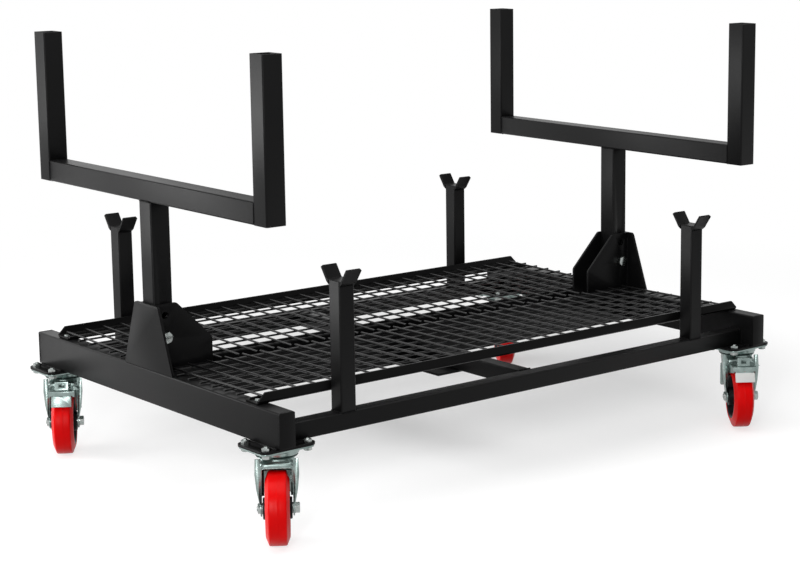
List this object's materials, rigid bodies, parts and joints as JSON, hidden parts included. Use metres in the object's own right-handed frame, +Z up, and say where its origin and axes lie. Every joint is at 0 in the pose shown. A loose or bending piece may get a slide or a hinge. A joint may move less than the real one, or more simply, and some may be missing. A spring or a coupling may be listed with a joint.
{
  "type": "mobile rack trolley",
  "caption": "Rolling steel rack for long goods: wire mesh deck with lips, V-cradle posts, U-shaped end stands that fold down, and swivel casters, two with foot brakes.",
  "frame": {"origin": "floor level under the middle of the frame", "axes": "+X along the cart's length, +Y across it, +Z up"},
  "size_m": [1.5924, 1.1193, 1.037],
  "materials": {
    "frame_paint": "satin black powder coat",
    "plate_paint": "satin black powder coat on flat plate",
    "deck_paint": "satin black powder coat on wire and bent strip",
    "caster_zinc": "blue-passivated zinc on pressed steel",
    "fastener_zinc": "bright zinc plate",
    "red_tread": "smooth red polyurethane",
    "black_rim": "black painted casting",
    "pedal_paint": "white paint on pressed steel"
  },
  "bodies": {
    "frame": {"left_beam": "frame_paint", "right_beam": "frame_paint", "beam_caps": "plate_paint", "near_rail": "frame_paint", "far_rail": "frame_paint", "near_centre_rail": "frame_paint", "far_centre_rail": "frame_paint", "near_cross_member": "frame_paint", "far_cross_member": "frame_paint", "centre_spacer": "frame_paint", "centre_plate": "plate_paint", "left_face_plate": "plate_paint", "right_face_plate": "plate_paint", "left_gussets": "plate_paint", "right_gussets": "plate_paint", "left_near_post": "frame_paint", "left_far_post": "frame_paint", "right_near_post": "frame_paint", "right_far_post": "frame_paint", "near_cradles": "plate_paint", "far_cradles": "plate_paint", "near_mesh": "deck_paint", "far_mesh": "deck_paint", "near_lip": "deck_paint", "far_lip": "deck_paint", "lip_screws": "fastener_zinc", "mount_plates": "plate_paint", "caster_top_plates": "caster_zinc", "caster_bolts": "fastener_zinc", "left_pivot_bolt": "fastener_zinc", "right_pivot_bolt": "fastener_zinc"},
    "left_stand": {"left_stand_post": "frame_paint", "left_crossbar": "frame_paint", "left_near_upright": "frame_paint", "left_far_upright": "frame_paint"},
    "right_stand": {"right_stand_post": "frame_paint", "right_crossbar": "frame_paint", "right_near_upright": "frame_paint", "right_far_upright": "frame_paint"},
    "left_near_swivel": {"left_near_fork": "caster_zinc", "left_near_axle": "fastener_zinc"},
    "left_near_wheel": {"left_near_tyre": "red_tread", "left_near_rim": "black_rim"},
    "left_far_swivel": {"left_far_fork": "caster_zinc", "left_far_axle": "fastener_zinc", "left_far_brake_pins": "fastener_zinc"},
    "left_far_wheel": {"left_far_tyre": "red_tread", "left_far_rim": "black_rim"},
    "left_far_brake": {"left_far_brake_pedal": "caster_zinc"},
    "right_near_swivel": {"right_near_fork": "caster_zinc", "right_near_axle": "fastener_zinc", "right_near_brake_pins": "fastener_zinc"},
    "right_near_wheel": {"right_near_tyre": "red_tread", "right_near_rim": "black_rim"},
    "right_near_brake": {"right_near_brake_pedal": "pedal_paint"},
    "right_far_swivel": {"right_far_fork": "caster_zinc", "right_far_axle": "fastener_zinc"},
    "right_far_wheel": {"right_far_tyre": "red_tread", "right_far_rim": "black_rim"}
  },
  "joints": [
    {"name": "left_stand_fold", "type": "hinge", "parent": "frame", "child": "left_stand", "pos_m": [-0.7187, 0, 0.3655], "axis": [0, 1, 0], "range_deg": [0, 93.9]},
    {"name": "right_stand_fold", "type": "hinge", "parent": "frame", "child": "right_stand", "pos_m": [0.7187, 0, 0.3655], "axis": [0, -1, 0], "range_deg": [0, 93.9]},
    {"name": "left_near_swivel_turn", "type": "hinge", "parent": "frame", "child": "left_near_swivel", "pos_m": [-0.717, -0.47, 0.1865], "axis": [0, 0, 1], "continuous": true},
    {"name": "left_near_wheel_roll", "type": "hinge", "parent": "left_near_swivel", "child": "left_near_wheel", "pos_m": [-0.74532, -0.51121, 0.08], "axis": [0.8241, -0.5664, 0], "continuous": true},
    {"name": "left_far_swivel_turn", "type": "hinge", "parent": "frame", "child": "left_far_swivel", "pos_m": [-0.717, 0.47, 0.1865], "axis": [0, 0, 1], "continuous": true},
    {"name": "left_far_wheel_roll", "type": "hinge", "parent": "left_far_swivel", "child": "left_far_wheel", "pos_m": [-0.74386, 0.42783, 0.08], "axis": [0.8434, -0.5373, 0], "continuous": true},
    {"name": "left_far_brake_press", "type": "hinge", "parent": "left_far_swivel", "child": "left_far_brake", "pos_m": [-0.74064, 0.43289, 0.148], "axis": [0.8434, -0.5373, 0], "range_deg": [0, 7]},
    {"name": "right_near_swivel_turn", "type": "hinge", "parent": "frame", "child": "right_near_swivel", "pos_m": [0.717, -0.47, 0.1865], "axis": [0, 0, 1], "continuous": true},
    {"name": "right_near_wheel_roll", "type": "hinge", "parent": "right_near_swivel", "child": "right_near_wheel", "pos_m": [0.68761, -0.51045, 0.08], "axis": [0.809, -0.5878, 0], "continuous": true},
    {"name": "right_near_brake_press", "type": "hinge", "parent": "right_near_swivel", "child": "right_near_brake", "pos_m": [0.69114, -0.5056, 0.148], "axis": [0.809, -0.5878, 0], "range_deg": [0, 7]},
    {"name": "right_far_swivel_turn", "type": "hinge", "parent": "frame", "child": "right_far_swivel", "pos_m": [0.717, 0.47, 0.1865], "axis": [0, 0, 1], "continuous": true},
    {"name": "right_far_wheel_roll", "type": "hinge", "parent": "right_far_swivel", "child": "right_far_wheel", "pos_m": [0.68832, 0.42904, 0.08], "axis": [0.8192, -0.5736, 0], "continuous": true}
  ]
}
